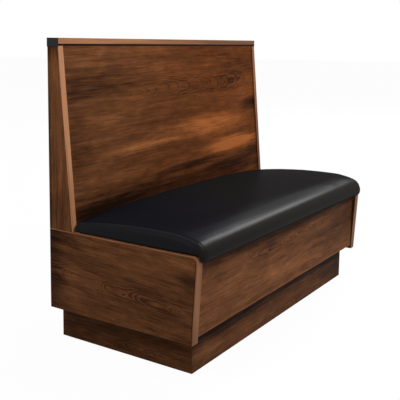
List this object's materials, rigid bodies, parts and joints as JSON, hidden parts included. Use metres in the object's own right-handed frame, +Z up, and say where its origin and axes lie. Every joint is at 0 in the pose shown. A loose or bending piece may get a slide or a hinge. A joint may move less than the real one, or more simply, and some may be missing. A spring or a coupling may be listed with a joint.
{
  "type": "restaurant booth seating",
  "caption": "Single-sided restaurant booth: plain slanted veneered back with a cap, veneered box base with a recessed kick, and a crowned black vinyl seat.",
  "frame": {"origin": "on the floor, midway along the length and midway between the rear and the seat's front", "axes": "+X along the booth to the right as seen from the front, +Y to the rear, +Z up"},
  "size_m": [1.357, 0.632, 1.067],
  "materials": {
    "veneer_level": "walnut-stained veneer, satin lacquer, grain along the length",
    "veneer_upright": "walnut-stained veneer, satin lacquer, upright grain",
    "edge_band": "lighter solid edge band, satin lacquer",
    "cap_veneer": "walnut-stained veneer, satin lacquer",
    "cap_band": "lighter edge band, satin lacquer",
    "kick_veneer": "dark walnut-stained veneer, satin lacquer",
    "plywood": "raw birch plywood",
    "softwood": "planed raw softwood",
    "dowel_beech": "raw fluted beech",
    "dark_strip": "dark red-brown stain",
    "plate_black": "black, fine texture",
    "seat_vinyl": "black upholstery vinyl, soft sheen, fine grain",
    "seat_foam": "upholstery foam",
    "dust_cloth": "black spun-bonded cloth",
    "zinc_steel": "zinc-plated",
    "glide_nylon": "black nylon"
  },
  "bodies": {
    "carcase": {"back_panel": "veneer_level", "back_sill": "softwood", "back_stud_centre": "softwood", "back_stud_left": "softwood", "back_stud_right": "softwood", "back_top_rail": "softwood", "base_board": "plywood", "base_screws": "zinc_steel", "cap_edge_band": "cap_band", "cap_shadow_strip": "dark_strip", "end_panel_dowels": "dowel_beech", "front_corner_battens": "softwood", "front_panel": "veneer_level", "glide_inserts": "zinc_steel", "kick_corner_blocks": "softwood", "kick_front_board": "kick_veneer", "kick_rear_board": "kick_veneer", "ledger_screws": "zinc_steel", "left_back_end_cleat": "softwood", "left_cap_end_plate": "plate_black", "left_cross_rib": "plywood", "left_kick_side_board": "kick_veneer", "left_kick_stretcher": "softwood", "left_lower_edge_band": "edge_band", "left_lower_end_panel": "veneer_level", "left_seat_ledger": "softwood", "left_upper_edge_band": "edge_band", "left_upper_end_panel": "veneer_upright", "rear_lower_panel": "veneer_level", "rear_upper_panel": "veneer_upright", "right_back_end_cleat": "softwood", "right_cap_end_plate": "plate_black", "right_cross_rib": "plywood", "right_kick_side_board": "kick_veneer", "right_kick_stretcher": "softwood", "right_lower_edge_band": "edge_band", "right_lower_end_panel": "veneer_level", "right_seat_ledger": "softwood", "right_upper_edge_band": "edge_band", "right_upper_end_panel": "veneer_upright", "seat_ledger_front": "softwood", "seat_ledger_rear": "softwood", "top_cap": "cap_veneer"},
    "seat": {"seat_board": "plywood", "seat_foam": "seat_foam", "seat_cover_top": "seat_vinyl", "left_seat_cover_boxing": "seat_vinyl", "right_seat_cover_boxing": "seat_vinyl", "seat_dust_cover": "dust_cloth", "seat_staples": "zinc_steel", "seat_locating_blocks": "softwood"},
    "left_glide_front": {"left_glide_foot_front": "glide_nylon", "left_glide_stem_front": "zinc_steel"},
    "right_glide_front": {"right_glide_foot_front": "glide_nylon", "right_glide_stem_front": "zinc_steel"},
    "left_glide_rear": {"left_glide_foot_rear": "glide_nylon", "left_glide_stem_rear": "zinc_steel"},
    "right_glide_rear": {"right_glide_foot_rear": "glide_nylon", "right_glide_stem_rear": "zinc_steel"}
  },
  "joints": [
    {"name": "seat_lift", "type": "slide", "parent": "carcase", "child": "seat", "axis": [0, 0, 1], "range_m": [0, 0.08]},
    {"name": "left_glide_front_level", "type": "slide", "parent": "carcase", "child": "left_glide_front", "axis": [0, 0, -1], "range_m": [0, 0.015]},
    {"name": "right_glide_front_level", "type": "slide", "parent": "carcase", "child": "right_glide_front", "axis": [0, 0, -1], "range_m": [0, 0.015]},
    {"name": "left_glide_rear_level", "type": "slide", "parent": "carcase", "child": "left_glide_rear", "axis": [0, 0, -1], "range_m": [0, 0.015]},
    {"name": "right_glide_rear_level", "type": "slide", "parent": "carcase", "child": "right_glide_rear", "axis": [0, 0, -1], "range_m": [0, 0.015]}
  ]
}
